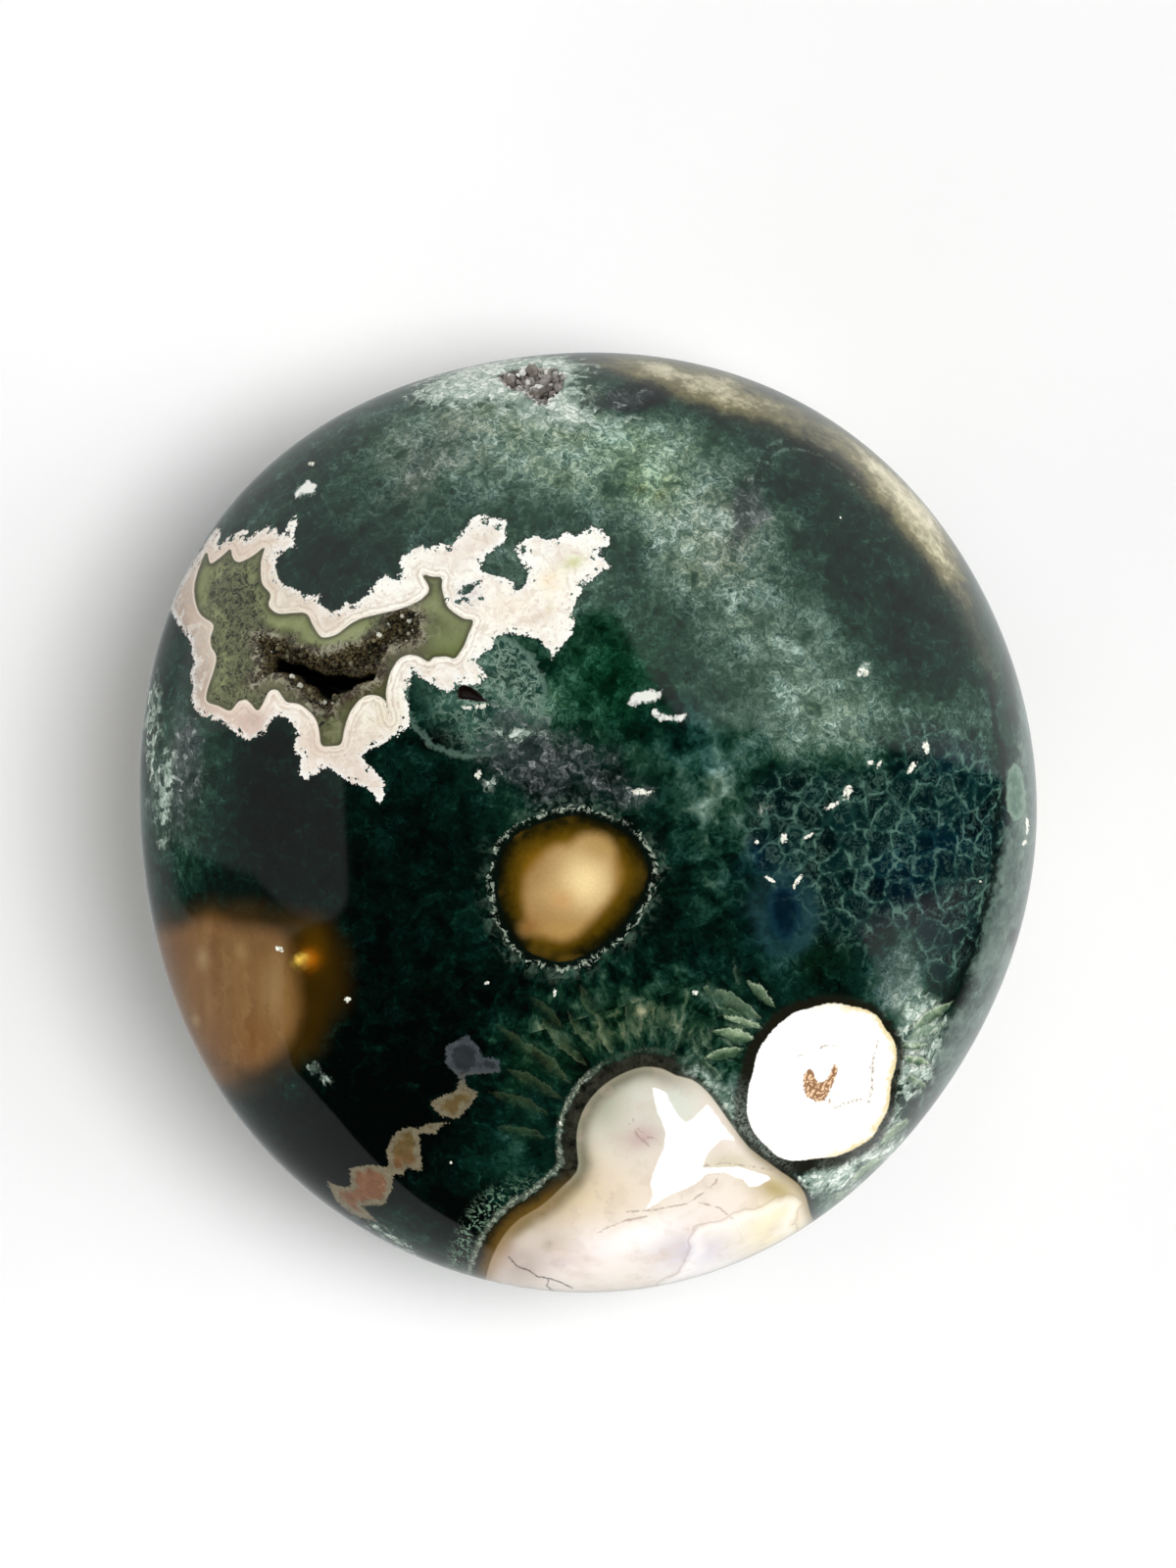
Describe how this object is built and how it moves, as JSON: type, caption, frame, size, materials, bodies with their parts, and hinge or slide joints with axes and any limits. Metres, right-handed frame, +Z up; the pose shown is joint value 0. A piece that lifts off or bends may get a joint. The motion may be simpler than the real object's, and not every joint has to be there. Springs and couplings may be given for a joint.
{
  "type": "polished ocean jasper palm stone",
  "caption": "Pillow-shaped polished orbicular jasper pebble with a crescent vug and a small pocket, both lined with quartz crystals, resting on a small flat spot.",
  "frame": {"origin": "middle of the flat spot's plane, centred on the stone's width and length", "axes": "+Z up from the flat spot through the domed face; +Y along the stone's length, towards the small pocket; +X across its width, away from the vug"},
  "size_m": [0.0652, 0.0684, 0.0376],
  "materials": {
    "jasper": "polished, glossy; dark green with orbs and a cream frilled band",
    "olive_quartz": "small natural crystal faces, olive to grey",
    "grey_quartz": "small natural crystal faces, pale grey"
  },
  "bodies": {
    "root": {"stone": "jasper", "vug_crystals": "olive_quartz", "pocket_crystals": "grey_quartz"}
  },
  "joints": []
}
